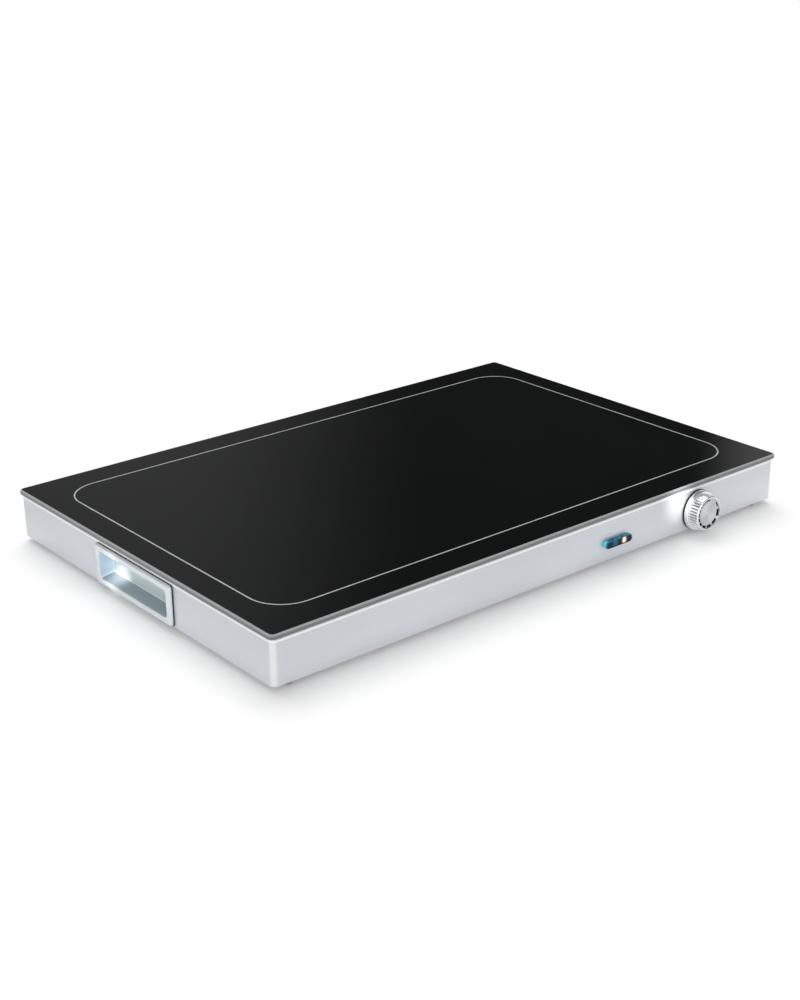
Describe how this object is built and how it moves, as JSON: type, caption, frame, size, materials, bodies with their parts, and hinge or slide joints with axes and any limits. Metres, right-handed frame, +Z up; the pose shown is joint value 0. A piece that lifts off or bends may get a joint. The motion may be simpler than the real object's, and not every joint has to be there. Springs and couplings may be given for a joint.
{
  "type": "electric food warmer tray",
  "caption": "Flat rectangular warming tray with a black glass hot plate, silver metal band, recessed finger grips at the ends and a dial thermostat with a pill-shaped indicator.",
  "frame": {"origin": "centre of the overall outline in X and Y, on the surface that the feet stand on", "axes": "+X along the long side towards the end with the dial, -Y out of the front wall that carries the dial and the indicator, +Z up out of the glass"},
  "size_m": [0.604, 0.415, 0.0509],
  "materials": {
    "black_glass": "gloss",
    "printed_ink": "satin",
    "silicone_bead": "matt",
    "silver_band": "satin",
    "zinc_sheet": "satin",
    "aluminium_sheet": "satin",
    "zinc_fastener": "satin",
    "spring_steel": "satin",
    "black_rubber": "matt",
    "silver_moulding": "satin",
    "dial_silver": "satin",
    "dial_disc": "brushed",
    "black_ink": "matt",
    "black_plastic": "satin",
    "turned_steel": "turned",
    "phenolic": "satin",
    "brass_contact": "satin",
    "copper": "satin",
    "teal_plastic": "gloss",
    "lens_plastic": "gloss",
    "lamp_glass": "gloss",
    "cable_silicone": "satin",
    "ceramic": "satin",
    "fibre_mat": "matt",
    "red_sleeve": "satin",
    "brown_lead": "satin",
    "blue_lead": "satin",
    "green_lead": "satin"
  },
  "bodies": {
    "tray": {"glass_top": "black_glass", "zone_line": "printed_ink", "glass_seal": "silicone_bead", "side_band": "silver_band", "base_plate": "zinc_sheet", "cross_braces": "zinc_sheet", "handle_yokes": "zinc_sheet", "thermostat_plate": "zinc_sheet", "heat_spreader": "aluminium_sheet", "reflector_pan": "aluminium_sheet", "cable_straps": "aluminium_sheet", "base_screws": "zinc_fastener", "foot_screws": "zinc_fastener", "foot_nuts": "zinc_fastener", "yoke_screws": "zinc_fastener", "thermostat_screws": "zinc_fastener", "inlet_screws": "zinc_fastener", "strap_rivets": "zinc_fastener", "sensor_clips": "spring_steel", "lamp_clip": "spring_steel", "feet": "black_rubber", "handle_gasket_left": "black_rubber", "handle_gasket_right": "black_rubber", "handle_left": "silver_moulding", "handle_right": "silver_moulding", "dial_ring": "black_plastic", "lamp_holder": "black_plastic", "inlet_housing": "black_plastic", "thermostat_body": "phenolic", "thermostat_tabs": "brass_contact", "lamp_tabs": "brass_contact", "inlet_pins": "brass_contact", "terminal_screws": "brass_contact", "earth_stud": "brass_contact", "sensor_bulb": "copper", "capillary": "copper", "indicator_rim": "teal_plastic", "indicator_lens": "lens_plastic", "glow_lamp": "lamp_glass", "heating_cable": "cable_silicone", "thermal_fuse": "ceramic", "terminal_block": "ceramic", "insulation_mat": "fibre_mat", "tab_sleeves": "red_sleeve", "splices": "red_sleeve", "live_leads": "brown_lead", "neutral_leads": "blue_lead", "earth_lead": "green_lead"},
    "dial": {"dial": "dial_silver", "dial_face": "dial_disc", "dial_marks": "black_ink", "spindle": "turned_steel"}
  },
  "joints": [
    {"name": "dial_turn", "type": "hinge", "parent": "tray", "child": "dial", "pos_m": [0.1871, -0.192, 0.023], "axis": [0, 1, 0], "range_deg": [0, 300]}
  ]
}
